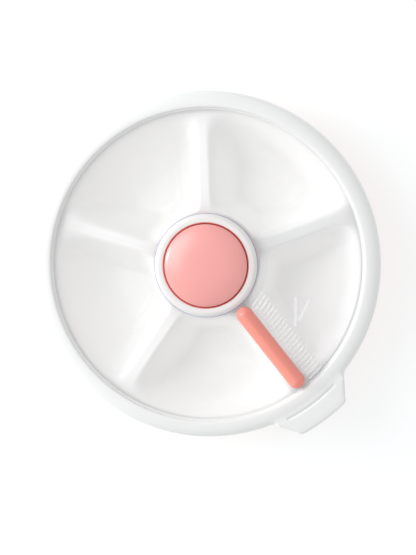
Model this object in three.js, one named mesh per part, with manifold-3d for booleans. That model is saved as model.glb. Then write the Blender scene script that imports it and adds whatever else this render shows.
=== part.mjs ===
// A round snack box that deals out one compartment at a time. A coral bowl holds a turning tray with
// five pockets; a press-fit lid carries a clear window with one opening, a clear door that slides
// round over the opening, and a push button whose cam steps the tray on by one pocket.
// Millimetres, +Z up. The origin is on the spin axis, on the surface that the box rests on.
// The direction angles are in degrees, counter-clockwise from +X seen from above.
import * as THREE from "three";
import { mergeVertices } from "three/addons/utils/BufferGeometryUtils.js";
import Module from "manifold-3d";

// Driving dimensions.
const LID_R = 95;
const LIP_R = 86; // inner edge of the lid ring's top lip
const SKIRT_Z = 34; // lower edge of the lid ring
const LID_TOP_Z = 48.2;
const RIM_R = 90.2; // outside of the bowl's rim
const RIM_Z = 41;
const BOWL_WALL = 2.4;
const STAND_IN_R = 63.5; // the soft ring that the box stands on
const STAND_OUT_R = 70.5;
const STAND_T = 1.6;
const STAND_PROUD = 0.8;
const GAP = 0.3; // running and assembly clearance

const POCKETS = 5;
const STEP_DEG = 360 / POCKETS;
const DIVIDER_DEG = -52; // one divider, under the closed door's handle
const DIVIDER_HALF = 2.75; // half the width of a divider's crown
const TRAY_R = 86.8;
const TRAY_Z = 42.2;
const TRAY_WALL = 1.6;
const POCKET_IN_R = 29.4;
const POCKET_OUT_R = 83.4;
const POCKET_FLOOR_Z = 9.5;
const POCKET_FLARE = 11; // how far a pocket's foot lies inside its mouth
const WELL_R = 26; // inside of the tray's central well
const WELL_FLOOR_Z = 16;

const WINDOW_Z = 44; // underside of the clear window
const WINDOW_T = 2;
const DOOR_R = 85.4;
const DOOR_Z = WINDOW_Z + WINDOW_T + GAP;
const DOOR_T = 1.5;
const DOOR_TOP_Z = DOOR_Z + DOOR_T;
const DOOR_MARGIN = 5.6; // how far the door's side edges run past its two radial lines

const HANDLE_DEG = -51.5;
const HANDLE_IN_R = 29.8;
const HANDLE_OUT_R = 84.2;
const HANDLE_W = 9.2;
const HANDLE_TOP_Z = 53.6;
const FOOT_IN_R = 34; // the handle's foot, pressed into the door
const FOOT_OUT_R = 80;
const FOOT_W = 4.4;

const TAB_DEG = -52.3;
const TAB_R = 106.7;
const TAB_TOP_Z = 47.2;
const TAB_T = 3.6;

const BUTTON_R = 22.6;
const BUTTON_TOP_Z = 55;
const BUTTON_SKIRT_Z = 40;
const STROKE = 5.5; // button travel that turns the cam by one pocket
const GUIDE_IN_R = 23;
const GUIDE_OUT_R = 24.6;
const GUIDE_FLOOR_Z = 24.8;
const GUIDE_FLOOR_T = 2;
const BEZEL_R = 28.6;
const KEYS = 3; // ribs that stop the button from turning

const CAM_BORE_R = 5.9;
const CAM_R = 9.4;
const CAM_TOP_Z = 35;
const PIN_Z = 33; // height of the plunger's cam pins with the button up
const PIN_R = 1;
const GROOVE_R = 1.6;
const GROOVE_MEAN_R = 6.3;
const PLATE_Z = 47.6; // underside of the plunger's plate, where the spring pushes
const SPRING_MEAN_R = 15.5;
const SPRING_WIRE_R = 0.6;
const SPRING_TURNS = 5;

const CLIP_Z = GUIDE_FLOOR_Z + GUIDE_FLOOR_T + GAP;
const SPINDLE_R = 5;
const DETENT_R = 21; // outside of the notched ring under the tray
const FINE = 48; // segments round a large turned piece
const COARSE = 28; // segments round a small turned piece

// Materials, one for each kind of plastic and metal.
const plastic = (color, roughness) => new THREE.MeshStandardMaterial({ color, roughness, metalness: 0 });
const clear = (color, opacity) =>
  new THREE.MeshStandardMaterial({ color, roughness: 0.12, metalness: 0, transparent: true, opacity });
const CORAL = plastic(0xf08a80, 0.42);
const DEEP_CORAL = plastic(0xec7a68, 0.45);
const WHITE = plastic(0xf1f1ef, 0.4);
const TRAY_WHITE = plastic(0xf4f3f0, 0.35);
const MECHANISM = plastic(0xdedede, 0.5);
const CLEAR = clear(0xeef1f5, 0.25);
const SEAL = clear(0xe6e6e2, 0.7);
const STEEL = new THREE.MeshStandardMaterial({ color: 0xb9bcc0, roughness: 0.3, metalness: 1 });

const wasm = await Module();
wasm.setup();

const radians = THREE.MathUtils.degToRad;
const range = (count) => [...Array(count).keys()];
const polar = (r, degrees) => [r * Math.cos(radians(degrees)), r * Math.sin(radians(degrees))];

// A closed geometry as a solid that can be joined and cut.
function solid(geometry) {
  const bare = geometry.clone();
  bare.deleteAttribute("normal");
  bare.deleteAttribute("uv");
  const merged = mergeVertices(bare, 1e-4);
  return new wasm.Manifold(
    new wasm.Mesh({
      numProp: 3,
      vertProperties: merged.attributes.position.array,
      triVerts: new Uint32Array(merged.index.array),
    }),
  );
}

function geometryOf(made) {
  const mesh = made.getMesh();
  return new THREE.BufferGeometry()
    .setAttribute("position", new THREE.BufferAttribute(mesh.vertProperties, 3))
    .setIndex(new THREE.BufferAttribute(mesh.triVerts, 1));
}

const join = (solids) => solids.reduce((whole, each) => whole.add(each));
const cut = (whole, solids) => solids.reduce((left, each) => left.subtract(each), whole);

// A solid of revolution about Z from [radius, height] points that run counter-clockwise.
function turned(points, segments = FINE) {
  const first = points[0];
  const profile = first[0] === 0 ? points : [...points, first];
  const lathe = new THREE.LatheGeometry(
    profile.map(([r, z]) => new THREE.Vector2(r, z)),
    segments,
  );
  return solid(lathe.rotateX(Math.PI / 2));
}

const ringProfile = (inR, outR, z0, z1) => [
  [inR, z0],
  [outR, z0],
  [outR, z1],
  [inR, z1],
];

// A plate from a flat shape, from height z0 up to z1, turned about Z.
function plate(shape, z0, z1, degrees = 0, options = {}) {
  const flat = { depth: z1 - z0, bevelEnabled: false, curveSegments: 5, ...options };
  const geometry = new THREE.ExtrudeGeometry(shape, flat);
  return solid(geometry.translate(0, 0, z0).rotateZ(radians(degrees)));
}

// A plate with rounded edges, kept inside the flat shape and between the two heights.
function softPlate(shape, z0, z1, edge, degrees = 0) {
  const bevel = {
    bevelEnabled: true,
    bevelSize: edge,
    bevelOffset: -edge,
    bevelThickness: edge,
    bevelSegments: 2,
  };
  return plate(shape, z0 + edge, z1 - edge, degrees, bevel);
}

// A rounded sector about the direction +X. Its straight sides run parallel to the radial lines at
// plus and minus half degrees, inside them by inset.
function sector(inR, outR, half, inset, inCorner, outCorner) {
  const sideDeg = (r) => half - THREE.MathUtils.radToDeg(Math.asin(inset / r));
  const side = (r, sign) => polar(r, sign * sideDeg(r));
  const outDeg = sideDeg(outR) - THREE.MathUtils.radToDeg(outCorner / outR);
  const inDeg = sideDeg(inR) - THREE.MathUtils.radToDeg(inCorner / inR);
  const shape = new THREE.Shape();
  shape.moveTo(...side(inR + inCorner, -1));
  shape.lineTo(...side(outR - outCorner, -1));
  shape.quadraticCurveTo(...side(outR, -1), ...polar(outR, -outDeg));
  shape.absarc(0, 0, outR, radians(-outDeg), radians(outDeg), false);
  shape.quadraticCurveTo(...side(outR, 1), ...side(outR - outCorner, 1));
  shape.lineTo(...side(inR + inCorner, 1));
  shape.quadraticCurveTo(...side(inR, 1), ...polar(inR, inDeg));
  shape.absarc(0, 0, inR, radians(inDeg), radians(-inDeg), true);
  shape.quadraticCurveTo(...side(inR, -1), ...side(inR + inCorner, -1));
  return shape;
}

// A bar with half-round ends along +X.
function capsule(x0, x1, width) {
  const r = width / 2;
  const shape = new THREE.Shape();
  shape.absarc(x1 - r, 0, r, -Math.PI / 2, Math.PI / 2, false);
  shape.absarc(x0 + r, 0, r, Math.PI / 2, (3 * Math.PI) / 2, false);
  return shape;
}

const circle = (x, r) => new THREE.Shape().absarc(x, 0, r, 0, 2 * Math.PI, false);

function rectangle(x0, y0, x1, y1) {
  return new THREE.Shape([
    new THREE.Vector2(x0, y0),
    new THREE.Vector2(x1, y0),
    new THREE.Vector2(x1, y1),
    new THREE.Vector2(x0, y1),
  ]);
}

class Helix extends THREE.Curve {
  constructor(r, z0, z1, degrees0, degrees1) {
    super();
    Object.assign(this, { r, z0, z1, degrees0, degrees1 });
  }
  getPoint(t) {
    const [x, y] = polar(this.r, THREE.MathUtils.lerp(this.degrees0, this.degrees1, t));
    return new THREE.Vector3(x, y, THREE.MathUtils.lerp(this.z0, this.z1, t));
  }
}

function rod(path, r, steps, sides) {
  const section = circle(0, r);
  const options = { extrudePath: path, steps, curveSegments: sides / 2, bevelEnabled: false };
  return solid(new THREE.ExtrudeGeometry(section, options));
}

// The bowl: a flat-bottomed shell with a snap bead under its rim and a boss for the spindle.
function baseShell() {
  return turned([
    [4.2, 1.2],
    [28, 1.2],
    [28.4, STAND_PROUD],
    [STAND_IN_R - GAP, STAND_PROUD],
    [STAND_IN_R - GAP, STAND_T + GAP],
    [STAND_OUT_R + GAP, STAND_T + GAP],
    [STAND_OUT_R + GAP, STAND_PROUD],
    [72.5, STAND_PROUD],
    [78, 1.8],
    [84, 5],
    [87.5, 12],
    [89.2, 24],
    [RIM_R, 36.5],
    [RIM_R + 0.7, 37.3],
    [RIM_R + 0.7, 38.6],
    [RIM_R, 39.4],
    [RIM_R, RIM_Z],
    [RIM_R - BOWL_WALL, RIM_Z],
    [89.2 - BOWL_WALL, 24],
    [87.3 - BOWL_WALL, 13],
    [81, 7],
    [75, 4.2],
    [68, 3.4],
    [10, 3.4],
    [9, 5],
    [1.8, 5],
    [1.8, 3.6],
    [4.2, 3.6],
  ]);
}

function standRing() {
  return turned([
    [STAND_IN_R, 0.3],
    [STAND_IN_R + 0.4, 0],
    [STAND_OUT_R - 0.4, 0],
    [STAND_OUT_R, 0.3],
    [STAND_OUT_R, STAND_T],
    [STAND_IN_R, STAND_T],
  ]);
}

function spindlePost() {
  return turned(
    [
      [0, 16],
      [1.6, 16],
      [1.6, 5.3],
      [8.5, 5.3],
      [8.5, 6.6],
      [SPINDLE_R, 6.6],
      [SPINDLE_R, 18.4],
      [SPINDLE_R - 1, 19.4],
      [0, 19.4],
    ],
    COARSE,
  );
}

function spindleScrew() {
  return turned(
    [
      [0, 1.4],
      [3, 1.4],
      [3.8, 2],
      [3.8, 3.3],
      [1.3, 3.3],
      [1.3, 13],
      [0, 14],
    ],
    COARSE,
  );
}

function thrustWasher() {
  return turned(ringProfile(SPINDLE_R + 0.4, 8, 6.9, 7.7), COARSE);
}

// A springy arm on the bowl's floor. Its nose drops into the notched ring under the tray.
function detentFinger() {
  const armIn = 25;
  const armOut = 26.4;
  const noseR = DETENT_R + 0.35;
  const shape = new THREE.Shape();
  shape.moveTo(...polar(armIn - 1, -70));
  shape.absarc(0, 0, 29, radians(-70), radians(-48), false);
  shape.absarc(0, 0, armOut, radians(-46), radians(8), false);
  shape.lineTo(...polar(armIn, 8));
  shape.lineTo(...polar(noseR, 3));
  shape.lineTo(...polar(noseR, -1));
  shape.lineTo(...polar(armIn, -7));
  shape.absarc(0, 0, armIn, radians(-8), radians(-46), true);
  shape.lineTo(...polar(armIn - 1, -48));
  return plate(shape, 3.7, 12.6, DIVIDER_DEG);
}

// The ring under the tray that the detent finger clicks into, one notch for each pocket.
function detentRing() {
  const notch = circle(DETENT_R + 1, 2);
  const notches = range(POCKETS).map((i) => plate(notch, 9, 15, DIVIDER_DEG + 1 + i * STEP_DEG));
  return cut(turned(ringProfile(17, DETENT_R, 10.3, WELL_FLOOR_Z - 2 - GAP)), notches);
}

// One pocket of the tray, or with a grown outline its outside. It narrows to its foot in a curve.
function pocket(index, grow, top) {
  const depth = TRAY_Z - 2.5 - POCKET_FLOOR_Z;
  const shape = sector(
    POCKET_IN_R - grow,
    POCKET_OUT_R + grow,
    STEP_DEG / 2,
    DIVIDER_HALF - grow,
    12 + grow,
    17 + grow,
  );
  const geometry = new THREE.ExtrudeGeometry(shape, {
    depth: 1,
    curveSegments: 3,
    bevelEnabled: true,
    bevelThickness: depth + grow,
    bevelSize: POCKET_FLARE,
    bevelOffset: -POCKET_FLARE,
    bevelSegments: 3,
  });
  geometry.translate(0, 0, TRAY_Z - 2.5);
  const heights = geometry.attributes.position;
  for (const i of range(heights.count)) heights.setZ(i, Math.min(heights.getZ(i), top));
  geometry.rotateZ(radians(DIVIDER_DEG + (index + 0.5) * STEP_DEG));
  return solid(geometry).intersect(scoop(grow));
}

// The long outer slope that all the pockets share, so that snacks can be scooped out over it.
function scoop(grow) {
  return turned([
    [0, POCKET_FLOOR_Z - grow],
    [54, POCKET_FLOOR_Z - grow],
    [60 + grow, 11.6 - grow],
    [66 + grow, 17.2 - grow],
    [72 + grow, 26 - grow],
    [78 + grow, 35.8 - grow],
    [POCKET_OUT_R + grow, TRAY_Z - 1.2 - grow],
    [POCKET_OUT_R + grow + 1, TRAY_Z + 2],
    [0, TRAY_Z + 2],
  ]);
}

// The tray: a deck with five pockets round a well, and a hub tube that turns on the spindle.
function snackTray() {
  const deck = turned([
    [SPINDLE_R + 0.4, 8],
    [8, 8],
    [8, WELL_FLOOR_Z - 2],
    [WELL_R + 2.2, WELL_FLOOR_Z - 2],
    [WELL_R + 2.2, TRAY_Z - TRAY_WALL],
    [TRAY_R, TRAY_Z - TRAY_WALL],
    [TRAY_R, TRAY_Z],
    [WELL_R, TRAY_Z],
    [WELL_R, WELL_FLOOR_Z],
    [SPINDLE_R + 0.4, WELL_FLOOR_Z],
  ]);
  const shells = range(POCKETS).map((i) => pocket(i, TRAY_WALL, TRAY_Z - TRAY_WALL / 2));
  const hollows = range(POCKETS).map((i) => pocket(i, 0, TRAY_Z + 1));
  return cut(join([deck, ...shells]), hollows);
}

// The crown ring that the cam's pawls push round, one saw tooth for each pocket.
function ratchetRing() {
  const toothTop = 20;
  const body = turned(ringProfile(12.5, 20, WELL_FLOOR_Z + GAP, 18.4), COARSE);
  const profile = new THREE.Shape([
    new THREE.Vector2(-3.5, 0),
    new THREE.Vector2(3.5, 0),
    new THREE.Vector2(3.5, 1.9),
    new THREE.Vector2(2.7, 1.9),
  ]);
  const teeth = range(POCKETS).map((i) => radialBlock(profile, 13.2, 19.2, toothTop - 1.9, i * STEP_DEG));
  return join([body, ...teeth]);
}

// A block from inner to outer radius whose outline is drawn across the radius, its base at height z.
function radialBlock(profile, inR, outR, z, degrees) {
  const options = { depth: outR - inR, bevelEnabled: false };
  const geometry = new THREE.ExtrudeGeometry(profile, options);
  geometry.rotateX(Math.PI / 2).rotateZ(Math.PI / 2);
  return solid(geometry.translate(inR, 0, z).rotateZ(radians(degrees)));
}

// The lid ring: a top lip that holds the window, a rounded shoulder and a skirt with a snap bead.
// The pull tab grows out of it, set off by a groove.
function lidRing() {
  const skirtIn = LID_R - 3.4;
  const ring = turned([
    [skirtIn, SKIRT_Z + 0.7],
    [skirtIn + 0.6, SKIRT_Z],
    [LID_R - 0.6, SKIRT_Z],
    [LID_R, SKIRT_Z + 0.6],
    [LID_R, 43],
    [94.6, 45],
    [93.6, 46.4],
    [92, 47.3],
    [89.5, LID_TOP_Z - 0.2],
    [87.4, LID_TOP_Z],
    [86.5, LID_TOP_Z - 0.1],
    [LIP_R, LID_TOP_Z - 0.6],
    [LIP_R, WINDOW_Z + WINDOW_T + GAP],
    [88.9, WINDOW_Z + WINDOW_T + GAP],
    [88.9, WINDOW_Z],
    [skirtIn, WINDOW_Z],
    [skirtIn, SKIRT_Z + 3.3],
    [skirtIn - 0.35, SKIRT_Z + 2.8],
    [skirtIn - 0.35, SKIRT_Z + 2.2],
    [skirtIn, SKIRT_Z + 1.7],
  ]);
  const groove = arcBand(94.8, 96, 9.7);
  return join([ring, pullTab()]).subtract(plate(groove, TAB_TOP_Z - 1, TAB_TOP_Z + 1, TAB_DEG));
}

function arcBand(inR, outR, half) {
  const shape = new THREE.Shape();
  shape.absarc(0, 0, outR, radians(-half), radians(half), false);
  shape.absarc(0, 0, inR, radians(half), radians(-half), true);
  return shape;
}

// The tab's outline swells out of the ring in two hollow curves and ends in a concentric edge.
function pullTab() {
  const rootR = LID_R - 3;
  const side = (sign) => ({
    root: polar(rootR, sign * 19),
    hollow: polar(95.6, sign * 15),
    neck: polar(98.4, sign * 12.6),
    shoulder: polar(TAB_R - 2, sign * 9.1),
    corner: polar(TAB_R, sign * 8.7),
    edge: polar(TAB_R, sign * 7.2),
  });
  const right = side(-1);
  const left = side(1);
  const shape = new THREE.Shape();
  shape.moveTo(...right.neck);
  shape.lineTo(...right.shoulder);
  shape.quadraticCurveTo(...right.corner, ...right.edge);
  shape.absarc(0, 0, TAB_R, radians(-7.2), radians(7.2), false);
  shape.quadraticCurveTo(...left.corner, ...left.shoulder);
  shape.lineTo(...left.neck);
  shape.quadraticCurveTo(...left.hollow, ...left.root);
  shape.absarc(0, 0, rootR, radians(19), radians(-19), true);
  shape.quadraticCurveTo(...right.hollow, ...right.neck);
  return plate(shape, TAB_TOP_Z - TAB_T, TAB_TOP_Z, TAB_DEG);
}

// The clear window, open over one compartment.
function lidWindow() {
  const disc = turned(ringProfile(GUIDE_OUT_R + 0.4, 88.5, WINDOW_Z, WINDOW_Z + WINDOW_T));
  const mouth = sector(33, 82, STEP_DEG / 2, 3.5, 6, 8);
  return disc.subtract(plate(mouth, WINDOW_Z - 1, WINDOW_Z + 4, DIVIDER_DEG + STEP_DEG / 2));
}

function lidSeal() {
  return turned(ringProfile(87.5, 91.2, RIM_Z + GAP, WINDOW_Z - GAP));
}

// The coral sleeve that guides the button, with a flange under the window and a floor for the spring.
function buttonGuide() {
  const floorTop = GUIDE_FLOOR_Z + GUIDE_FLOOR_T;
  const sleeve = turned(
    [
      [CAM_R + 0.4, GUIDE_FLOOR_Z],
      [GUIDE_OUT_R, GUIDE_FLOOR_Z],
      [GUIDE_OUT_R, 42.7],
      [27.6, 42.7],
      [27.6, WINDOW_Z - GAP],
      [GUIDE_OUT_R, WINDOW_Z - GAP],
      [GUIDE_OUT_R, 48.7],
      [GUIDE_IN_R, 48.7],
      [GUIDE_IN_R, floorTop],
      [CAM_R + 0.4, floorTop],
    ],
    32,
  );
  const rib = rectangle(BUTTON_R - 1.4, -1.1, GUIDE_IN_R + 0.4, 1.1);
  return join([sleeve, ...range(KEYS).map((i) => plate(rib, 30, 42, (i * 360) / KEYS))]);
}

// The clear-edged collar round the button, which traps the door's hub ring.
function collarBezel() {
  return turned([
    [GUIDE_OUT_R + GAP, DOOR_TOP_Z + GAP],
    [BEZEL_R, DOOR_TOP_Z + GAP],
    [BEZEL_R, 49.7],
    [28, 50.4],
    [27, 50.7],
    [24.4, 50.7],
    [23.7, 50.3],
    [23.5, 49],
    [GUIDE_OUT_R + GAP, 49],
  ]);
}

function buttonCap() {
  const shell = turned([
    [0, 52.8],
    [10, 52.4],
    [16, 51.2],
    [19.6, PLATE_Z + 2.1],
    [BUTTON_R - 1.8, PLATE_Z + 2.1],
    [BUTTON_R - 1.8, BUTTON_SKIRT_Z],
    [BUTTON_R, BUTTON_SKIRT_Z],
    [BUTTON_R, 50],
    [22.2, 51.2],
    [21.1, 52.2],
    [18.5, 53.2],
    [13, 54.4],
    [7, 54.9],
    [0, BUTTON_TOP_Z],
  ]);
  const keyway = rectangle(BUTTON_R - 2.6, -1.5, BUTTON_R + 1, 1.5);
  const slots = range(KEYS).map((i) => plate(keyway, BUTTON_SKIRT_Z - 1, 48, (i * 360) / KEYS));
  return cut(shell, slots);
}

// The plunger: a plate clipped inside the cap, and a stem whose three pins run in the cam's grooves.
function buttonPlunger() {
  const stem = turned(
    [
      [4, 31.5],
      [5.6, 31.5],
      [5.6, PLATE_Z],
      [BUTTON_R - 2.1, PLATE_Z],
      [BUTTON_R - 2.1, PLATE_Z + 1.8],
      [4, PLATE_Z + 1.8],
    ],
    COARSE,
  );
  const across = circle(0, PIN_R);
  const pins = range(KEYS).map((i) => radialBlock(across, 5, GROOVE_MEAN_R + 0.6, PIN_Z, (i * 360) / KEYS));
  return join([stem, ...pins]);
}

// The coil spring under the plunger's plate.
function returnSpring() {
  const bottom = GUIDE_FLOOR_Z + GUIDE_FLOOR_T + GAP + SPRING_WIRE_R;
  const top = PLATE_Z - GAP - SPRING_WIRE_R;
  const coil = new Helix(SPRING_MEAN_R, bottom, top, 0, 360 * SPRING_TURNS);
  return rod(coil, SPRING_WIRE_R, 10 * SPRING_TURNS, 6);
}

// The cam: helical grooves turn it by one pocket for each full press. Its flange carries the pawls.
function driveCam() {
  const sleeve = turned(
    [
      [CAM_BORE_R, 22.2],
      [18.5, 22.2],
      [18.5, GUIDE_FLOOR_Z - GAP],
      [CAM_R, GUIDE_FLOOR_Z - GAP],
      [CAM_R, CLIP_Z - 0.2],
      [CAM_R - 0.6, CLIP_Z - 0.2],
      [CAM_R - 0.6, CLIP_Z + 1.2],
      [CAM_R, CLIP_Z + 1.2],
      [CAM_R, CAM_TOP_Z],
      [CAM_BORE_R, CAM_TOP_Z],
    ],
    COARSE,
  );
  const lead = STEP_DEG / STROKE; // degrees of turn for each millimetre of travel
  const low = PIN_Z - STROKE - PIN_R - 0.7;
  const high = CAM_TOP_Z + 2;
  const grooves = range(KEYS).map((i) => {
    const degreesAt = (z) => (i * 360) / KEYS + lead * (z - PIN_Z);
    return rod(new Helix(GROOVE_MEAN_R, low, high, degreesAt(low), degreesAt(high)), GROOVE_R, 12, 8);
  });
  return cut(sleeve, grooves);
}

function driveClip() {
  const clip = turned(ringProfile(CAM_R - 0.3, 12, CLIP_Z, CLIP_Z + 1), COARSE);
  return clip.subtract(plate(rectangle(0, -4, 15, 4), CLIP_Z - 1, CLIP_Z + 2));
}

// The pawl ring under the cam's flange, with one sloped pawl for each saw tooth.
function pawlRing() {
  const body = turned(ringProfile(10, 18.3, 21.2, 21.9), COARSE);
  const profile = new THREE.Shape([
    new THREE.Vector2(-2, 0),
    new THREE.Vector2(2.2, 0.9),
    new THREE.Vector2(2.2, 1.2),
    new THREE.Vector2(-3.5, 1.2),
    new THREE.Vector2(-3.5, 0),
  ]);
  const pawls = range(POCKETS).map((i) => radialBlock(profile, 13.5, 18, 20.35, (i + 0.4) * STEP_DEG));
  return join([body, ...pawls]);
}

// The clear sliding door: a sector with a hub ring, a slot for the handle's foot, a row of fine grip
// ridges beside the handle and an arrowhead that points the way it opens.
function doorPanel() {
  const middle = DIVIDER_DEG + STEP_DEG / 2;
  const leaf = sector(27, DOOR_R, STEP_DEG / 2, -DOOR_MARGIN, 1, 3);
  const hub = turned(ringProfile(GUIDE_OUT_R + 0.6, BEZEL_R + 0.9, DOOR_Z, DOOR_TOP_Z));
  const slot = capsule(FOOT_IN_R - 0.4, FOOT_OUT_R + 0.4, FOOT_W + 0.8);
  const panel = join([plate(leaf, DOOR_Z, DOOR_TOP_Z, middle), hub]);
  return join([
    panel.subtract(plate(slot, DOOR_Z - 1, DOOR_TOP_Z + 1, HANDLE_DEG)),
    ...gripRidges(),
    ...arrowhead(),
  ]);
}

function gripRidges() {
  const pitch = 2.35;
  const count = 24;
  return range(count).map((i) => {
    const x = HANDLE_IN_R - 0.2 + i * pitch;
    const ridge = rectangle(x - 0.45, HANDLE_W / 2 + 0.6, x + 0.45, 12);
    return plate(ridge, DOOR_TOP_Z - 0.2, DOOR_TOP_Z + 0.6, HANDLE_DEG);
  });
}

function arrowhead() {
  const tip = new THREE.Vector2(47.4, -33.9);
  const tails = [new THREE.Vector2(48.6, -17.2), new THREE.Vector2(56.6, -18.2)];
  return tails.map((tail) => {
    const along = tail.clone().sub(tip);
    const stroke = capsule(-0.6, along.length(), 1.2);
    const geometry = new THREE.ExtrudeGeometry(stroke, { depth: 0.5, bevelEnabled: false, curveSegments: 4 });
    return solid(geometry.rotateZ(along.angle()).translate(tip.x, tip.y, DOOR_TOP_Z - 0.1));
  });
}

// The coral bar on the door, with a foot that is pressed into the door's slot.
function doorHandle() {
  const bar = capsule(HANDLE_IN_R, HANDLE_OUT_R, HANDLE_W);
  const foot = capsule(FOOT_IN_R, FOOT_OUT_R, FOOT_W);
  return join([
    softPlate(bar, DOOR_TOP_Z + GAP, HANDLE_TOP_Z, 1.5, HANDLE_DEG),
    plate(foot, DOOR_Z + GAP, DOOR_TOP_Z + 1, HANDLE_DEG),
  ]);
}

// The assembly: each group is one body that moves as a whole.
function body(pieces) {
  const group = new THREE.Group();
  for (const [name, made, material] of pieces) {
    const mesh = new THREE.Mesh(geometryOf(made), material);
    mesh.name = name;
    group.add(mesh);
  }
  return group;
}

const base = body([
  ["base_shell", baseShell(), CORAL],
  ["stand_ring", standRing(), SEAL],
  ["spindle_post", spindlePost(), WHITE],
  ["spindle_screw", spindleScrew(), STEEL],
  ["thrust_washer", thrustWasher(), MECHANISM],
  ["detent_finger", detentFinger(), WHITE],
]);
const tray = body([
  ["snack_tray", snackTray(), TRAY_WHITE],
  ["ratchet_ring", ratchetRing(), MECHANISM],
  ["detent_ring", detentRing(), MECHANISM],
]);
const lid = body([
  ["lid_ring", lidRing(), WHITE],
  ["lid_window", lidWindow(), CLEAR],
  ["lid_seal", lidSeal(), SEAL],
  ["collar_bezel", collarBezel(), WHITE],
  ["button_guide", buttonGuide(), DEEP_CORAL],
  ["return_spring", returnSpring(), STEEL],
]);
const door = body([
  ["door_panel", doorPanel(), CLEAR],
  ["door_handle", doorHandle(), DEEP_CORAL],
]);
const button = body([
  ["button_cap", buttonCap(), CORAL],
  ["button_plunger", buttonPlunger(), MECHANISM],
]);
const drive = body([
  ["drive_cam", driveCam(), MECHANISM],
  ["drive_clip", driveClip(), STEEL],
  ["pawl_ring", pawlRing(), MECHANISM],
]);

lid.add(door, button, drive);
const snackBox = new THREE.Group();
snackBox.add(base, tray, lid);

export default snackBox;
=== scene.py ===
"""The looks of a round snack box with a turning tray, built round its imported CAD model.

Lengths are written in millimetres and become metres as each mesh is made. +Z is up the spin axis.
Directions are in degrees, counter-clockwise from +X seen from above.
"""

import math

import bmesh
import bpy
import numpy as np
from mathutils import Matrix, Vector


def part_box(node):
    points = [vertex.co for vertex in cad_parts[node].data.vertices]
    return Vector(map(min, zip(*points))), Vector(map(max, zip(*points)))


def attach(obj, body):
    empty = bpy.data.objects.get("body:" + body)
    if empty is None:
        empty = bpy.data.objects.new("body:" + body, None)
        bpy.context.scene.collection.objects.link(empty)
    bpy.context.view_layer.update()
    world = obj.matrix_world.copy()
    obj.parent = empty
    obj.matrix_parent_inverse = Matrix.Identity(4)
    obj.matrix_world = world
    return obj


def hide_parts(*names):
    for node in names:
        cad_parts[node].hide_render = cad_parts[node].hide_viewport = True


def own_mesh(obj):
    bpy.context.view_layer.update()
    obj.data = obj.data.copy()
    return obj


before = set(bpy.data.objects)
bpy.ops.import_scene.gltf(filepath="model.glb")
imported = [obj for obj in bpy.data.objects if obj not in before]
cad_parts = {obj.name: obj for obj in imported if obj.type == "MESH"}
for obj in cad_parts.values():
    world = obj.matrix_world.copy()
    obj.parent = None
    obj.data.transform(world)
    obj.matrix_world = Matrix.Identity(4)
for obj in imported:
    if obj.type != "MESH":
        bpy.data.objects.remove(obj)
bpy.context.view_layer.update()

MM = 0.001


def reach(node):
    """Largest radius, lowest z and highest z of a CAD node turned about the axis, in millimetres."""
    low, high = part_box(node)
    return high.x / MM, low.z / MM, high.z / MM


# Sizes that the CAD sets.
LID_R, SKIRT_Z, LID_TOP = reach("lid_ring")
WINDOW_R, WINDOW_Z, WINDOW_TOP = reach("lid_window")
TRAY_R, TRAY_FOOT_Z, TRAY_TOP = reach("snack_tray")
BEZEL_R, BEZEL_Z, BEZEL_TOP = reach("collar_bezel")
BUTTON_R, BUTTON_Z, BUTTON_TOP = reach("button_cap")
BOWL_R, BOWL_FOOT_Z, BOWL_TOP = reach("base_shell")
SEAL_R, SEAL_Z, SEAL_TOP = reach("lid_seal")
STAND_R, STAND_Z, STAND_TOP = reach("stand_ring")
FLANGE_R, GUIDE_Z, GUIDE_TOP = reach("button_guide")
DOOR_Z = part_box("door_panel")[0].z / MM
HANDLE_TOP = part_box("door_handle")[1].z / MM
SPRING_R, SPRING_Z, SPRING_TOP = reach("return_spring")

# Sizes that a box doesn't give.
DOOR_TOP = DOOR_Z + 1.5
DOOR_R = 85.4
DOOR_MARGIN = 5.6  # from a divider's line to the door's side
HUB_R = 29.5  # the door's own hub ring
LIP_R = 86.0  # the lid ring's inner edge
BEZEL_IN_R = 23.5
GUIDE_R = 24.6
GUIDE_BORE = 23.0
HANDLE_IN_R = 29.8
HANDLE_OUT_R = 84.2
HANDLE_W = 9.2
FOOT_IN_R = 34.0  # the handle's foot in the door
FOOT_OUT_R = 80.0
FOOT_W = 4.4
TAB_ROOT_R = 92.2
TAB_R = 106.7
TAB_Z = 47.2
SWELL = 2.2  # how far the lid ring swells out at the tab's foot
TAB_UNDER_Z = TAB_Z - 3.6
STAND_W = 7.0
POCKET_IN_R = 28.8
POCKET_OUT_R = 84.6
DIVIDER_W = 4.8
TRAY_WALL = 1.6
POCKETS = 5
STEP = 360 / POCKETS
DIVIDER_DIR = -52.0
HANDLE_DIR = -51.5
TAB_DIR = -52.3
ALL_ROUND = np.arange(240) * 1.5  # directions round a turned piece


# Making meshes.
def piece(name, mesh, material, body, replaced):
    """A mesh in millimetres as a smooth piece of the model that rides on a CAD body."""
    mesh.transform(Matrix.Scale(MM, 4))
    mesh.materials.clear()
    mesh.materials.append(material)
    obj = bpy.data.objects.new(name, mesh)
    bpy.context.scene.collection.objects.link(obj)
    for face in mesh.polygons:
        face.use_smooth = True
    weighted = obj.modifiers.new("weighted_normals", "WEIGHTED_NORMAL")
    weighted.keep_sharp = True
    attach(obj, body)
    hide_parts(*replaced)
    return obj


def outward(mesh, sharp=50):
    """Turns a closed mesh's faces outwards and marks its sharp edges."""
    bm = bmesh.new()
    bm.from_mesh(mesh)
    bmesh.ops.remove_doubles(bm, verts=bm.verts, dist=1e-4)
    bmesh.ops.recalc_face_normals(bm, faces=bm.faces)
    for edge in bm.edges:
        edge.smooth = len(edge.link_faces) != 2 or edge.calc_face_angle(0) < math.radians(sharp)
    bm.to_mesh(mesh)
    bm.free()
    return mesh


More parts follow.
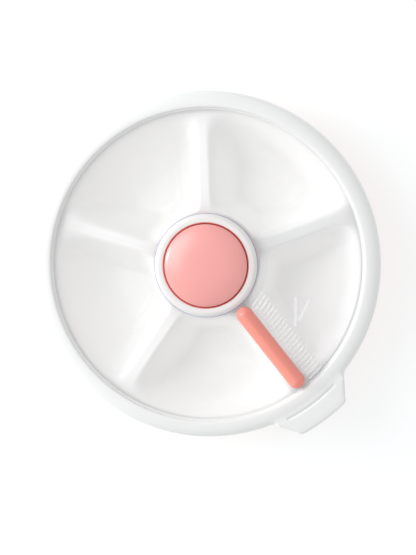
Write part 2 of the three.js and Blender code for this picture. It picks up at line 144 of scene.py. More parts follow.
def skin(name, rings, closed=True):
    """A surface through rings of equally many points. A closed one joins its last ring to its first."""
    count = len(rings[0])
    points = np.concatenate(rings)
    faces = []
    for i in range(len(rings) if closed else len(rings) - 1):
        a, b = i * count, (i + 1) % len(rings) * count
        faces += [(a + j, a + (j + 1) % count, b + (j + 1) % count, b + j) for j in range(count)]
    mesh = bpy.data.meshes.new(name)
    mesh.from_pydata(points.tolist(), [], faces)
    return outward(mesh)


def ring(r, z, angles):
    """One ring of points. r and z are numbers or arrays as long as angles, which is in degrees."""
    a = np.radians(angles)
    ones = np.ones_like(a)
    return np.stack([r * np.cos(a), r * np.sin(a), z * ones], axis=1)


def rounded(corners, steps=4):
    """A closed [r, z] outline from corners [r, z, radius] that are rounded."""
    out = []
    count = len(corners)
    for i, (r, z, radius) in enumerate(corners):
        here = np.array([r, z], float)
        before = np.array(corners[i - 1][:2], float) - here
        after = np.array(corners[(i + 1) % count][:2], float) - here
        size = min(radius, np.linalg.norm(before) * 0.45, np.linalg.norm(after) * 0.45)
        start = here + before / np.linalg.norm(before) * size
        end = here + after / np.linalg.norm(after) * size
        for k in range(steps + 1):
            t = k / steps
            out.append(start * (1 - t) ** 2 + here * 2 * t * (1 - t) + end * t**2)
    return out


def turned(name, corners):
    """A solid of revolution from the corners [r, z, radius] of an outline that stays off the axis."""
    return skin(name, [ring(r, z, ALL_ROUND) for r, z in rounded(corners)])


def domed(name, outline):
    """A solid of revolution from an [r, z] outline that starts and ends on the axis."""
    tiny = 1e-5
    return skin(name, [ring(max(r, tiny), z, ALL_ROUND) for r, z in outline], closed=False)


def arc(r, start, end, step=1.5):
    """Points [x, y] along an arc about the axis, in degrees."""
    count = max(2, int(abs(end - start) / step) + 1)
    a = np.radians(np.linspace(start, end, count))
    return [(r * math.cos(t), r * math.sin(t)) for t in a]


def spun(points, degrees):
    """Points [x, y] turned about the axis."""
    c, s = math.cos(math.radians(degrees)), math.sin(math.radians(degrees))
    return [(x * c - y * s, x * s + y * c) for x, y in points]


def capsule(x0, x1, width, steps=16):
    """The outline of a bar with half-round ends along +X."""
    r = width / 2
    turn = np.linspace(-90, 90, steps)
    right = [(x1 - r + r * math.cos(math.radians(t)), r * math.sin(math.radians(t))) for t in turn]
    left = [(x0 + r - r * math.cos(math.radians(t)), -r * math.sin(math.radians(t))) for t in turn]
    return right + left


def bend(before, corner, after, steps=6):
    """Points of a rounded corner between two points."""
    out = []
    for k in range(steps + 1):
        t = k / steps
        w = ((1 - t) ** 2, 2 * t * (1 - t), t**2)
        out.append(tuple(w[0] * b + w[1] * c + w[2] * a for b, c, a in zip(before, corner, after)))
    return out


def slab(name, outlines, z0, z1, edge, soft=3):
    """A plate between two heights with softened edges. Outlines inside the first are holes."""
    curve = bpy.data.curves.new(name, "CURVE")
    curve.dimensions = "2D"
    curve.fill_mode = "BOTH"
    curve.extrude = (z1 - z0) / 2 - edge
    curve.bevel_depth = edge
    curve.bevel_resolution = soft
    curve.offset = -edge
    for outline in outlines:
        spline = curve.splines.new("POLY")
        spline.points.add(len(outline) - 1)
        for point, (x, y) in zip(spline.points, outline):
            point.co = (x, y, 0, 1)
        spline.use_cyclic_u = True
    holder = bpy.data.objects.new(name, curve)
    mesh = bpy.data.meshes.new_from_object(holder)
    bpy.data.objects.remove(holder)
    bpy.data.curves.remove(curve)
    mesh.transform(Matrix.Translation((0, 0, (z0 + z1) / 2)))
    return outward(mesh)


def merged(name, meshes):
    """Several meshes as one."""
    bm = bmesh.new()
    for mesh in meshes:
        bm.from_mesh(mesh)
        bpy.data.meshes.remove(mesh)
    mesh = bpy.data.meshes.new(name)
    bm.to_mesh(mesh)
    bm.free()
    return mesh


# Materials.
def shader(name):
    """A new node material with its Principled shader and a function that adds a node."""
    material = bpy.data.materials.new(name)
    material.use_nodes = True
    tree = material.node_tree
    principled = tree.nodes["Principled BSDF"]

    def add(kind, **sockets):
        node = tree.nodes.new(kind)
        for key, value in sockets.items():
            node.inputs[key.replace("_", " ")].default_value = value
        return node

    return material, tree, principled, add


def mould_noise(tree, add, scale, detail=3.0):
    """Noise in the object's own space, in cycles a metre."""
    where = add("ShaderNodeTexCoord")
    noise = add("ShaderNodeTexNoise", Scale=scale, Detail=detail)
    tree.links.new(where.outputs["Object"], noise.inputs["Vector"])
    return noise


def two_tone(tree, add, source, low, high, start=0.35, end=0.65):
    """Colours that go from low to high with a noise."""
    ramp = add("ShaderNodeValToRGB")
    ramp.color_ramp.elements[0].position = start
    ramp.color_ramp.elements[1].position = end
    ramp.color_ramp.elements[0].color = (*low, 1)
    ramp.color_ramp.elements[1].color = (*high, 1)
    tree.links.new(source.outputs["Fac"], ramp.inputs["Fac"])
    return ramp


def moulded_plastic(name, color, roughness, grain=0.04, sheen=0.5, flow=0.02, coat=0.0, glow=0.0, painted_fill_light=0.0):
    """Injection-moulded plastic: faint flow clouds in the colour, uneven gloss and a fine skin grain.
    Glow is the share of light that spreads under the skin. The last argument sets a white emission, painted
    light that brightens the whole surface and its shade evenly; it stands in for light that thin white
    walls let through."""
    material, tree, principled, add = shader(name)
    clouds = mould_noise(tree, add, 22.0)
    low = tuple(c * (1 - flow) for c in color)
    high = tuple(min(1.0, c * (1 + flow)) for c in color)
    tint = two_tone(tree, add, clouds, low, high)
    tree.links.new(tint.outputs["Color"], principled.inputs["Base Color"])
    patches = mould_noise(tree, add, 140.0, 4.0)
    gloss = add("ShaderNodeMapRange", To_Min=roughness * 0.88, To_Max=roughness * 1.12)
    tree.links.new(patches.outputs["Fac"], gloss.inputs["Value"])
    tree.links.new(gloss.outputs["Result"], principled.inputs["Roughness"])
    skin_grain = mould_noise(tree, add, 2600.0, 2.0)
    bump = add("ShaderNodeBump", Strength=grain, Distance=0.00008)
    tree.links.new(skin_grain.outputs["Fac"], bump.inputs["Height"])
    tree.links.new(bump.outputs["Normal"], principled.inputs["Normal"])
    principled.inputs["Specular IOR Level"].default_value = sheen
    principled.inputs["IOR"].default_value = 1.49
    principled.inputs["Coat Weight"].default_value = coat
    principled.inputs["Coat Roughness"].default_value = 0.2
    # Painted light: a white emission that brightens the surface and its shaded parts alike.
    principled.inputs["Emission Color"].default_value = (1, 1, 1, 1)
    principled.inputs["Emission Strength"].default_value = painted_fill_light
    if glow:
        principled.inputs["Subsurface Weight"].default_value = glow
        principled.inputs["Subsurface Radius"].default_value = (0.004, 0.002, 0.0015)
        principled.inputs["Subsurface Scale"].default_value = 1.0
    return material


def clear_plastic(name, tint, body, haze=0.02):
    """Thin clear plastic: light goes straight through it, and it mirrors more at a grazing angle.
    Haze is the share of its surface that shows the body's colour."""
    mirror_share = 0.2
    material, tree, principled, add = shader(name)
    principled.inputs["Base Color"].default_value = (*body, 1)
    principled.inputs["Roughness"].default_value = 0.08
    principled.inputs["IOR"].default_value = 1.5
    through = add("ShaderNodeBsdfTransparent", Color=(*tint, 1))
    edge = add("ShaderNodeLayerWeight", Blend=0.25)
    clouds = mould_noise(tree, add, 30.0)
    share = add("ShaderNodeMapRange", To_Min=haze, To_Max=haze * 1.6)
    tree.links.new(clouds.outputs["Fac"], share.inputs["Value"])
    total = add("ShaderNodeMath")
    total.operation = "ADD"
    total.use_clamp = True
    scaled = add("ShaderNodeMath")
    scaled.operation = "MULTIPLY"
    scaled.inputs[1].default_value = mirror_share
    tree.links.new(edge.outputs["Fresnel"], scaled.inputs[0])
    tree.links.new(scaled.outputs["Value"], total.inputs[0])
    tree.links.new(share.outputs["Result"], total.inputs[1])
    mix = add("ShaderNodeMixShader")
    tree.links.new(total.outputs["Value"], mix.inputs["Fac"])
    tree.links.new(through.outputs["BSDF"], mix.inputs[1])
    tree.links.new(principled.outputs["BSDF"], mix.inputs[2])
    output = tree.nodes["Material Output"]
    tree.links.new(mix.outputs["Shader"], output.inputs["Surface"])
    return material


def spring_steel(name):
    """Drawn stainless wire and strip with fine streaks along the turns."""
    material, tree, principled, add = shader(name)
    streaks = mould_noise(tree, add, 900.0, 4.0)
    tint = two_tone(tree, add, streaks, (0.52, 0.53, 0.55), (0.68, 0.69, 0.71))
    tree.links.new(tint.outputs["Color"], principled.inputs["Base Color"])
    gloss = add("ShaderNodeMapRange", To_Min=0.22, To_Max=0.38)
    tree.links.new(streaks.outputs["Fac"], gloss.inputs["Value"])
    tree.links.new(gloss.outputs["Result"], principled.inputs["Roughness"])
    principled.inputs["Metallic"].default_value = 1.0
    return material


CORAL = moulded_plastic("coral_bowl", (0.80, 0.27, 0.22), 0.38, glow=0.1)
BUTTON_CORAL = moulded_plastic("coral_button", (0.94, 0.385, 0.36), 0.38, sheen=0.9, coat=0.5, glow=0.08)
BAR_CORAL = moulded_plastic("coral_bar", (0.92, 0.315, 0.255), 0.34, glow=0.1)
GUIDE_CORAL = moulded_plastic("coral_guide", (0.90, 0.13, 0.11), 0.45)
# The ring and the tray carry a white emission, painted light that brightens their shaded parts; the tray's
# is the stronger.
RING_WHITE = moulded_plastic("white_ring", (0.80, 0.81, 0.805), 0.38, flow=0.01, painted_fill_light=0.05)
TRAY_WHITE = moulded_plastic("white_tray", (0.80, 0.796, 0.788), 0.36, flow=0.008, painted_fill_light=0.16)
BEZEL_WHITE = moulded_plastic("white_collar", (0.84, 0.83, 0.82), 0.3, flow=0.01, coat=0.3)
NATURAL = moulded_plastic("natural_acetal", (0.74, 0.73, 0.70), 0.45, flow=0.03)
SILICONE = moulded_plastic("seal_silicone", (0.80, 0.80, 0.78), 0.6, flow=0.02)
WINDOW_CLEAR = clear_plastic("clear_window", (0.997, 0.998, 0.999), (0.95, 0.955, 0.97), haze=0.006)
# The grip ridges and arrow show a whitish body over almost half their surface: a painted highlight that
# stands in for the glints of light on them.
GRIP_PAINTED_HIGHLIGHT = clear_plastic("clear_grip_painted_highlight", (0.985, 0.985, 0.99), (0.97, 0.97, 0.98), haze=0.45)
# The collar's clear edge has a bluish tint and a bluish body over a quarter of its surface: painted light
# that stands in for the bluish line shown by light bent through a clear edge.
EDGE_PAINTED_BLUE_LINE = clear_plastic("clear_edge_painted_blue_line", (0.86, 0.89, 0.97), (0.80, 0.85, 0.97), haze=0.25)
DOOR_CLEAR = clear_plastic("clear_door", (0.995, 0.996, 0.998), (0.95, 0.955, 0.97), haze=0.008)
STEEL = spring_steel("spring_steel")


# Pieces.
def bowl():
    """The coral bowl, with its snap bead, the groove for its standing ring and the spindle's boss."""
    wall = 2.4
    slack = 0.3  # round the standing ring
    upper_r = BOWL_R - 0.7
    bend_r, bend_z = 89.2, 24
    recess_r, recess_z = 28, 1.2  # under the spindle
    screw_r, boss_top, floor_top = 1.8, 5, 3.4
    head_r, head_z = 4.2, 3.6  # the hollow for the screw's head
    corners = [
        (head_r, recess_z, 0.2),
        (recess_r, recess_z, 0.2),
        (recess_r + 0.4, BOWL_FOOT_Z, 0.2),
        (STAND_R - STAND_W - slack, BOWL_FOOT_Z, 0.2),
        (STAND_R - STAND_W - slack, STAND_TOP + slack, 0.2),
        (STAND_R + slack, STAND_TOP + slack, 0.2),
        (STAND_R + slack, BOWL_FOOT_Z, 0.2),
        (74, BOWL_FOOT_Z, 3.0),
        (82.5, 4.0, 5.0),
        (87.4, 11.5, 5.0),
        (bend_r, bend_z, 4.0),
        (upper_r, 36.3, 0.3),
        (BOWL_R, 37.3, 0.3),
        (BOWL_R, 38.6, 0.3),
        (upper_r, 39.5, 0.3),
        (upper_r, BOWL_TOP, 0.6),
        (upper_r - wall, BOWL_TOP, 0.6),
        (bend_r - wall, bend_z, 4.0),
        (84.9, 13, 5.0),
        (79, 5.6, 5.0),
        (68, floor_top, 3.0),
        (10, floor_top, 0.4),
        (9, boss_top, 0.4),
        (screw_r, boss_top, 0.2),
        (screw_r, head_z, 0.1),
        (head_r, head_z, 0.1),
    ]
    piece("bowl", turned("bowl", corners), CORAL, "base", ["base_shell"])


def stand():
    """The soft ring in the bowl's floor that the box stands on."""
    corners = [
        (STAND_R - STAND_W, STAND_Z, 0.4),
        (STAND_R, STAND_Z, 0.4),
        (STAND_R, STAND_TOP, 0.2),
        (STAND_R - STAND_W, STAND_TOP, 0.2),
    ]
    piece("stand", turned("stand", corners), SILICONE, "base", ["stand_ring"])


def fall(distance, length, crown, foot):
    """How far a pocket has fallen, from 0 to 1, at a distance in from its edge. It has a rounded
    crown, a steep flank and a bowl-shaped foot."""
    t = np.clip(distance / length, 0, 1)
    return 1 - (1 - t**crown) ** foot


def tray_heights(r, angles):
    """Height of the tray's upper surface at one radius for an array of directions."""
    floor_z = TRAY_FOOT_Z + TRAY_WALL
    toward = (angles - DIVIDER_DIR) % STEP - STEP / 2
    from_divider = r * np.sin(np.radians(STEP / 2 - np.abs(toward))) - DIVIDER_W / 2
    side = fall(from_divider, 18.0, 1.8, 3.2)
    inner = fall(r - POCKET_IN_R, 13.0, 1.6, 3.4)
    outer = fall(POCKET_OUT_R - r, 34.0, 1.6, 3.0)
    return TRAY_TOP - (TRAY_TOP - floor_z) * side * inner * outer


def tray():
    """The white tray: five bowl-shaped pockets round a well with a hub tube."""
    angles = np.arange(450) * 0.8
    under_z = TRAY_TOP - TRAY_WALL
    well_r, well_z = 26.0, 16.0
    skirt_r = well_r + 2.2
    hub_r, hub_bore, hub_z = 8.0, 5.4, 8.0
    inner_rows = np.linspace(POCKET_IN_R, 42, 34)
    middle_rows = np.linspace(43, 74, 42)
    outer_rows = np.linspace(74.8, POCKET_OUT_R, 26)
    rows = np.concatenate([inner_rows, middle_rows, outer_rows])
    upper = [ring(r, tray_heights(r, angles), angles) for r in rows]
    under = [ring(r, tray_heights(r, angles) - TRAY_WALL, angles) for r in rows[::-1]]
    rim = [(TRAY_R - 0.5, TRAY_TOP), (TRAY_R, TRAY_TOP - 0.5), (TRAY_R, under_z), (85.2, under_z)]
    hub = [
        (skirt_r, under_z - 0.6),
        (skirt_r, well_z - 2),
        (hub_r, well_z - 2),
        (hub_r, hub_z),
        (hub_bore, hub_z),
        (hub_bore, well_z),
        (well_r - 1, well_z),
        (well_r, well_z + 1),
        (well_r, TRAY_TOP - 0.7),
        (well_r + 0.2, TRAY_TOP - 0.2),
        (well_r + 0.7, TRAY_TOP),
    ]
    rings = upper + [ring(r, z, angles) for r, z in rim] + under + [ring(r, z, angles) for r, z in hub]
    piece("tray", skin("tray", rings), TRAY_WHITE, "tray", ["snack_tray"])


def smooth(t):
    """Eases a share from 0 to 1."""
    t = np.clip(t, 0, 1)
    return t * t * (3 - 2 * t)


def tab_edge(off):
    """Outer radius of the lid ring at so many degrees off the tab's middle."""
    flat, corner_end, flank_end, swell_end = 7.0, 8.9, 13.2, 19.0
    round_r = 2.0
    slope = 1.744  # millimetres a degree
    off = np.abs(off)
    turn = (off - flat) / (corner_end - flat)
    corner = TAB_R - round_r + round_r * np.sqrt(np.clip(1 - turn**2, 0, 1))
    flank = TAB_R - round_r - slope * (off - corner_end)
    swell = LID_R + SWELL * np.clip((swell_end - off) / (swell_end - flank_end), 0, 1) ** 2.8
    return np.select([off < flat, off < corner_end, off < flank_end], [TAB_R, corner, flank], swell)


def ring_crest():
    """The lid ring's upper side from its lip to the tab's root, as radii and heights."""
    return [
        (LIP_R - 0.1, WINDOW_TOP + 0.7),
        (LIP_R, LID_TOP - 0.9),
        (LIP_R + 0.12, LID_TOP - 0.45),
        (LIP_R + 0.5, LID_TOP - 0.14),
        (LIP_R + 1.2, LID_TOP - 0.01),
        (LIP_R + 2.2, LID_TOP),
        (89.6, LID_TOP - 0.1),
        (91.0, LID_TOP - 0.35),
        (TAB_ROOT_R, LID_TOP - 0.75),
    ]


def ring_shoulder():
    """The lid ring's rounded shoulder and the top of its side, away from the tab."""
    shoulder = [(93.1, 46.95), (93.9, 46.25), (94.4, 45.5), (94.75, 44.6), (94.92, 43.7), (94.98, 43.0)]
    return shoulder + [(LID_R, 42.8 - 0.25 * k) for k in range(1, 10)]


def tab_section(outer, off):
    """The rings that leave the shoulder at the tab: its groove, its plateau and its rounded edge."""
    groove_half, groove_fade = 10.0, 0.7  # degrees
    neck = np.clip((outer - TAB_ROOT_R) / 5.5, 0, 1)
    grooved = smooth((groove_half - np.abs(off)) / groove_fade)
    # Distance past the root, height, and depth of groove.
    groove = [
        (1.2, TAB_Z + 0.13, 0.0),
        (2.0, TAB_Z + 0.05, 0.0),
        (2.5, TAB_Z, 0.08),
        (2.95, TAB_Z, 0.6),
        (3.5, TAB_Z, 0.65),
        (4.0, TAB_Z, 0.12),
        (4.4, TAB_Z, 0.0),
        (4.8, TAB_Z, 0.0),
    ]
    section = [(TAB_ROOT_R + past * neck, z - deep * grooved) for past, z, deep in groove]
    plateau_r = TAB_ROOT_R + 4.8 * neck
    edge = 1.3 * neck
    return section + [
        (plateau_r + 0.6 * (outer - plateau_r - edge), TAB_Z - 0.05),
        (outer - edge, TAB_Z - 0.2),
        (outer - 0.35 * edge, TAB_Z - 0.65),
        (outer, TAB_Z - 1.5),
        (outer, TAB_UNDER_Z + 0.9),
        (outer - 0.4 * edge, TAB_UNDER_Z + 0.25),
        (LID_R + 0.5 * (outer - LID_R), TAB_UNDER_Z),
    ]


def ring_skirt():
    """The lid ring's skirt, snap bead, inner wall and the fillet that joins its lip to the window."""
    inner_r, seat_r = 91.6, 88.9
    return [
        (LID_R, 36.0),
        (LID_R, 34.7),
        (LID_R - 0.2, 34.25),
        (LID_R - 0.7, SKIRT_Z),
        (92.3, SKIRT_Z),
        (inner_r, 34.8),
        (inner_r, 35.8),
        (inner_r - 0.35, 36.3),
        (inner_r - 0.35, 36.8),
        (inner_r, 37.3),
        (inner_r, WINDOW_Z),
        (seat_r, WINDOW_Z),
        (seat_r, WINDOW_TOP + 0.02),
        (LIP_R - 1.1, WINDOW_TOP + 0.02),
        (LIP_R - 1.1, WINDOW_TOP + 0.12),
        (LIP_R - 0.5, WINDOW_TOP + 0.3),
    ]


def lid_ring():
    """The white lid ring. Its rounded shoulder runs out into the pull tab, with a groove between."""
    tab_part = np.arange(-20, 20, 0.2)
    rest = np.arange(20, 340, 1.0)
    turn = np.concatenate([tab_part, rest])
    angles = turn + TAB_DIR
    off = np.where(turn > 180, turn - 360, turn)
    outer = tab_edge(off)
    lifted = smooth((outer - LID_R) / SWELL)
    rings = [ring(r, z, angles) for r, z in ring_crest()]
    for (plain_r, plain_z), (tab_r, tab_z) in zip(ring_shoulder(), tab_section(outer, off)):
        r = plain_r + (tab_r - plain_r) * lifted
        z = plain_z + (tab_z - plain_z) * lifted
        rings.append(ring(r, z, angles))
    rings += [ring(r, z, angles) for r, z in ring_skirt()]
    piece("ring_with_tab", skin("ring_with_tab", rings), RING_WHITE, "lid", ["lid_ring"])


def sector_side(r, inset):
    """Degrees from a sector's middle to its side at a radius, the side lying inside the radial line."""
    return STEP / 2 - math.degrees(math.asin(inset / r))


def at(r, degrees):
    """The point [x, y] at a radius and a direction."""
    return (r * math.cos(math.radians(degrees)), r * math.sin(math.radians(degrees)))


def window():
    """The clear window, open over one compartment. The mouth's corners are wider at its outer end."""
    in_r, out_r, inset, in_c, out_c = 33.0, 82.0, 3.5, 6.0, 8.0

    def side(r):
        return sector_side(r, inset)

    out_deg = side(out_r) - math.degrees(out_c / out_r)
    in_deg = side(in_r) - math.degrees(in_c / in_r)
    mouth = bend(at(out_r - out_c, -side(out_r - out_c)), at(out_r, -side(out_r)), at(out_r, -out_deg))
    mouth += arc(out_r, -out_deg, out_deg)
    mouth += bend(at(out_r, out_deg), at(out_r, side(out_r)), at(out_r - out_c, side(out_r - out_c)))
    mouth += bend(at(in_r + in_c, side(in_r + in_c)), at(in_r, side(in_r)), at(in_r, in_deg))
    mouth += arc(in_r, in_deg, -in_deg)
    mouth += bend(at(in_r, -in_deg), at(in_r, -side(in_r)), at(in_r + in_c, -side(in_r + in_c)))
    hole_r = GUIDE_R + 0.4
    outlines = [arc(WINDOW_R, 0, 358.5), arc(hole_r, 0, 357), spun(mouth, DIVIDER_DIR + STEP / 2)]
    mesh = slab("window", outlines, WINDOW_Z, WINDOW_TOP, 0.25)
    piece("window", mesh, WINDOW_CLEAR, "lid", ["lid_window"])


def door():
    """The clear door: a sector with a hub ring and a slot for the handle's foot."""

    def side(r):
        return sector_side(r, -DOOR_MARGIN)

    corner = 3.0
    near_r = DOOR_R - corner
    hole_r = GUIDE_R + 0.6
    fillet, fillet_deg = 2.0, 4.0  # where the leaf leaves the hub ring
    root_r, root_deg = HUB_R + fillet, side(HUB_R) + fillet_deg
    out_deg = side(DOOR_R) - math.degrees(corner / DOOR_R)
    leaf = bend(at(near_r, -side(near_r)), at(DOOR_R, -side(DOOR_R)), at(DOOR_R, -out_deg))
    leaf += arc(DOOR_R, -out_deg, out_deg)
    leaf += bend(at(DOOR_R, out_deg), at(DOOR_R, side(DOOR_R)), at(near_r, side(near_r)))
    leaf += bend(at(root_r, side(root_r)), at(HUB_R, side(HUB_R)), at(HUB_R, root_deg))
    leaf += arc(HUB_R, root_deg + 1, 359 - root_deg)
    leaf += bend(at(HUB_R, 360 - root_deg), at(HUB_R, -side(HUB_R)), at(root_r, -side(root_r)))
    outlines = [
        spun(leaf, DIVIDER_DIR + STEP / 2),
        arc(hole_r, 0, 357),
        spun(capsule(FOOT_IN_R - 0.4, FOOT_OUT_R + 0.4, FOOT_W + 0.8), HANDLE_DIR),
    ]
    mesh = slab("door", outlines, DOOR_Z, DOOR_TOP, 0.2)
    piece("door", mesh, DOOR_CLEAR, "door", ["door_panel"])
    mesh = merged("door_grips", [*grip_ridges(), arrowhead()])
    # Painted highlight: the grips' whitish body stands in for the glints on the ridges and the arrow.
    piece("door_grips", mesh, GRIP_PAINTED_HIGHLIGHT, "door", ["door_panel"])


def grip_ridges():
    """The row of fine ridges beside the handle, each an arc about the spin axis."""
    first_r, pitch, count = 33.7, 2.37, 22
    near, far = 5.8, 15.4  # from the handle's middle line
    ridges = []
    for i in range(count):
        r = first_r + i * pitch
        start, end = (HANDLE_DIR + math.degrees(math.asin(side / r)) for side in (near, far))
        outline = arc(r + 0.5, start, end) + arc(r - 0.5, end, start)
        ridges.append(slab("ridge", [outline], DOOR_TOP - 0.05, DOOR_TOP + 0.35, 0.18, 2))
    return ridges


def arrowhead():
    """Two strokes that meet in a point on the side to which the door opens."""
    tip = Vector((48.9, -33.3))
    outlines = []
    for tail, gap in ((Vector((49.1, -16.7)), 0.0), (Vector((57.0, -17.9)), 3.6)):
        along = tail - tip
        stroke = spun(capsule(gap, along.length, 1.9, 8), math.degrees(math.atan2(along.y, along.x)))
        outlines.append([(x + tip.x, y + tip.y) for x, y in stroke])
    return merged("arrow", [slab("stroke", [o], DOOR_TOP - 0.05, DOOR_TOP + 0.2, 0.1, 2) for o in outlines])


def handle():
    """The coral bar, round-topped with half-round ends, and its foot in the door."""
    half = HANDLE_W / 2
    low = DOOR_TOP + 0.3
    shoulder = low + 1.2
    # Distance in from the outline and height, from the underside's middle line to the crest.
    section = [(half, low), (0.3, low), (0, low + 0.3)]
    for inset in half * (1 - np.cos(np.linspace(0, math.pi / 2, 14))):
        rise = (1 - (1 - inset / half) ** 1.7) ** 0.72
        section.append((inset, shoulder + (HANDLE_TOP - shoulder) * rise))
    rings = []
    for inset, z in section:
        outline = capsule(HANDLE_IN_R + inset, HANDLE_OUT_R - inset, HANDLE_W - 2 * inset, 32)
        rings.append(np.array([(x, y, z) for x, y in spun(outline, HANDLE_DIR)]))
    bar = skin("bar", rings, closed=False)
    outline = spun(capsule(FOOT_IN_R, FOOT_OUT_R, FOOT_W), HANDLE_DIR)
    foot = slab("foot", [outline], DOOR_Z + 0.3, low + 0.2, 0.2)
    mesh = merged("bar_handle", [bar, foot])
    piece("bar_handle", mesh, BAR_CORAL, "door", ["door_handle"])


def button():
    """The domed button, a shell with its edge turned down into the guide."""
    rim_z = 50.4
    rise = BUTTON_TOP - rim_z
    in_r = BUTTON_R - 1.8
    along = np.sin(np.linspace(0, math.pi / 2, 48))
    dome = [(BUTTON_R * t, rim_z + rise * (1 - t**2.8) ** 0.6) for t in along]
    skirt = [(BUTTON_R, 48.0), (BUTTON_R, BUTTON_Z + 0.4), (BUTTON_R - 0.4, BUTTON_Z)]
    inside = [(in_r + 0.4, BUTTON_Z), (in_r, BUTTON_Z + 0.4), (in_r, 49.2)]
    inside += [(18.6, 49.9), (15, 51.2), (10, 52.4), (0, 52.8)]
    mesh = domed("button", dome + skirt + inside)
    piece("button", mesh, BUTTON_CORAL, "button", ["button_cap"])


def collar():
    """The pale collar round the button, with a thin clear edge."""
    bore_r = GUIDE_R + 0.3
    seat_z = 49.0  # just above the guide's upper end
    corners = [
        (bore_r, BEZEL_Z, 0.1),
        (BEZEL_R - 0.5, BEZEL_Z, 0.2),
        (BEZEL_R - 0.5, BEZEL_TOP - 1.9, 0.5),
        (26.4, BEZEL_TOP - 0.3, 1.6),
        (BEZEL_IN_R, BEZEL_TOP - 0.4, 0.7),
        (BEZEL_IN_R, seat_z, 0.1),
        (bore_r, seat_z, 0.1),
    ]
    piece("collar", turned("collar", corners), BEZEL_WHITE, "lid", ["collar_bezel"])
    corners = [
        (BEZEL_R - 0.48, BEZEL_Z, 0.1),
        (BEZEL_R, BEZEL_Z, 0.2),
        (BEZEL_R, BEZEL_TOP - 2.1, 0.2),
        (BEZEL_R - 0.48, BEZEL_TOP - 2.0, 0.1),
    ]
    mesh = turned("collar_edge", corners)
    # Painted light: the edge's bluish tint paints the line that light bent through it shows.
    piece("collar_edge", mesh, EDGE_PAINTED_BLUE_LINE, "lid", ["collar_bezel"])


def guide():
    """The button's coral guide sleeve with its thin lip, flange, floor and three ribs."""
    hole_r = 9.8
    floor_top = GUIDE_Z + 2
    flange_z, flange_top = 42.7, 43.7
    lip_r, lip_top = BEZEL_IN_R - 0.05, BEZEL_TOP - 0.8
    corners = [
        (hole_r, GUIDE_Z, 0.3),
        (GUIDE_R, GUIDE_Z, 0.6),
        (GUIDE_R, flange_z, 0.2),
        (FLANGE_R, flange_z, 0.3),
        (FLANGE_R, flange_top, 0.3),
        (GUIDE_R, flange_top, 0.2),
        (GUIDE_R, GUIDE_TOP, 0.3),
        (lip_r, GUIDE_TOP, 0.1),
        (lip_r, lip_top, 0.1),
        (GUIDE_BORE, lip_top, 0.1),
        (GUIDE_BORE, floor_top, 0.4),
        (hole_r, floor_top, 0.3),
    ]
    rib_in, rib_out, rib_half = 21.2, GUIDE_BORE + 0.4, 1.1
    rib = [(rib_in, -rib_half), (rib_out, -rib_half), (rib_out, rib_half), (rib_in, rib_half)]
    rib_z, rib_top = 30, 42
    ribs = [slab("rib", [spun(rib, 120 * i)], rib_z, rib_top, 0.2, 2) for i in range(3)]
    mesh = merged("guide", [turned("guide", corners), *ribs])
    piece("guide", mesh, GUIDE_CORAL, "lid", ["button_guide"])


def seal():
    """The soft seal, with two lips."""
    in_r = 87.5
    corners = [
        (in_r, SEAL_Z, 0.4),
        (SEAL_R, SEAL_Z, 0.4),
        (SEAL_R, SEAL_TOP, 0.4),
        (90.2, SEAL_TOP, 0.3),
        (89.4, SEAL_TOP - 0.6, 0.3),
        (88.6, SEAL_TOP, 0.3),
        (in_r, SEAL_TOP, 0.4),
    ]
    piece("seal", turned("seal", corners), SILICONE, "lid", ["lid_seal"])


def spring():
    """The return spring, a coil with closed ends, built at the length of its CAD node. The real one
    shortens as the button goes down.
    """
    wire_r = 0.6
    coils = 6
    end_rise = 1.25  # over each closed end coil
    mean_r = SPRING_R - wire_r
    low, high = SPRING_Z + wire_r, SPRING_TOP - wire_r
    turns = np.linspace(0, coils, 48 * coils + 1)
    heights = np.interp(turns, [0, 1, coils - 1, coils], [low, low + end_rise, high - end_rise, high])
    thickness = wire_r * np.where((turns == 0) | (turns == coils), 0.01, 1.0)
    around = np.radians(np.arange(10) * 36)
    rings = []
    for turn, z, thick in zip(turns, heights, thickness):
        r = mean_r + thick * np.cos(around)
        a = math.radians(360 * turn)
        rings.append(np.stack([r * math.cos(a), r * math.sin(a), z + thick * np.sin(around)], axis=1))
    mesh = skin("spring", rings, closed=False)
    coil = piece("spring", mesh, STEEL, "lid", ["return_spring"])
    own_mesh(coil)


def finish_inner_nodes():
    """The mechanism's own CAD nodes keep their shape and take a finish."""
    natural = ["thrust_washer", "ratchet_ring", "detent_ring", "button_plunger", "drive_cam", "pawl_ring"]
    white = ["spindle_post", "detent_finger"]
    steel = ["spindle_screw", "drive_clip"]
    for names, material in ((natural, NATURAL), (white, RING_WHITE), (steel, STEEL)):
        for name in names:
            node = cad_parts[name]
            node.data.materials.clear()
            node.data.materials.append(material)


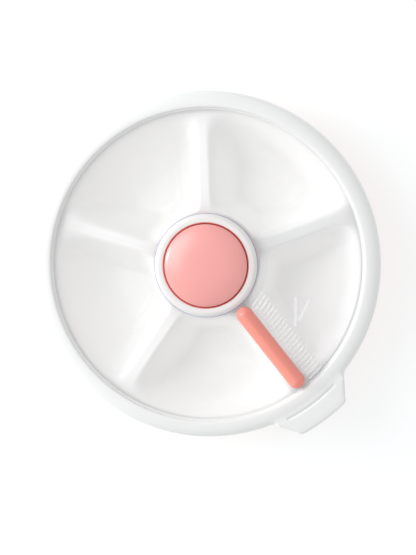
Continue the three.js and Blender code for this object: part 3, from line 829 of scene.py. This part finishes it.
# Surroundings.
def floor():
    """The pale ground, a hair below the ring that the box stands on."""
    mesh = bpy.data.meshes.new("floor")
    half, z = 6.0, -0.00005  # metres
    corners = [(-half, -half, z), (half, -half, z), (half, half, z), (-half, half, z)]
    mesh.from_pydata(corners, [], [(0, 1, 2, 3)])
    material, _, principled, _ = shader("pale_floor")
    principled.inputs["Base Color"].default_value = (0.33, 0.37, 0.37, 1)
    principled.inputs["Roughness"].default_value = 0.9
    principled.inputs["Specular IOR Level"].default_value = 0.1
    principled.inputs["Emission Color"].default_value = (1, 1, 1, 1)
    principled.inputs["Emission Strength"].default_value = 0.7
    mesh.materials.append(material)
    obj = bpy.data.objects.new("floor", mesh)
    bpy.context.scene.collection.objects.link(obj)


def lamp(name, direction, height, far, size, power):
    """A round soft light that faces the box. Direction and height are in degrees, far and size in
    metres and power in watts."""
    level = math.cos(math.radians(height))
    steep = math.sin(math.radians(height))
    toward = math.radians(direction)
    data = bpy.data.lights.new(name, "AREA")
    data.shape = "DISK"
    data.size = size
    data.energy = power
    obj = bpy.data.objects.new(name, data)
    place = Vector((level * math.cos(toward), level * math.sin(toward), steep)) * far
    obj.location = place
    obj.rotation_euler = place.to_track_quat("Z", "Y").to_euler()
    bpy.context.scene.collection.objects.link(obj)


def studio():
    """Soft light from the upper left over an even white surround."""
    world = bpy.data.worlds.new("studio")
    world.use_nodes = True
    background = world.node_tree.nodes["Background"]
    background.inputs["Color"].default_value = (1.0, 1.0, 1.0, 1)
    background.inputs["Strength"].default_value = 0.67
    bpy.context.scene.world = world
    lamp("key", direction=158, height=50, far=1.6, size=1.2, power=9.6)
    lamp("side", direction=170, height=18, far=1.2, size=0.4, power=5.6)
    view = bpy.context.scene.view_settings
    view.view_transform = "Standard"
    view.look = "None"


def camera():
    """Looks down on the lid, tilted a little off the axis. Lengths here are in metres."""
    far = 0.9
    frame_width = 0.3056  # at the focus
    tilt = math.radians(7.0)
    toward = math.radians(36.0)
    focus = Vector((0.0003, -0.0072, 0.040))
    back = Vector((math.sin(tilt) * math.cos(toward), math.sin(tilt) * math.sin(toward), math.cos(tilt)))
    data = bpy.data.cameras.new("camera")
    data.sensor_width = 36.0
    data.lens = data.sensor_width * far / frame_width
    obj = bpy.data.objects.new("camera", data)
    upright = Vector((0, 1, 0))
    right = upright.cross(back).normalized()
    up = back.cross(right)
    obj.matrix_world = Matrix((right, up, back)).transposed().to_4x4()
    obj.matrix_world.translation = focus + back * far
    bpy.context.scene.collection.objects.link(obj)
    bpy.context.scene.camera = obj


camera()
bowl()
stand()
tray()
lid_ring()
window()
door()
handle()
button()
collar()
guide()
seal()
spring()
finish_inner_nodes()
floor()
studio()
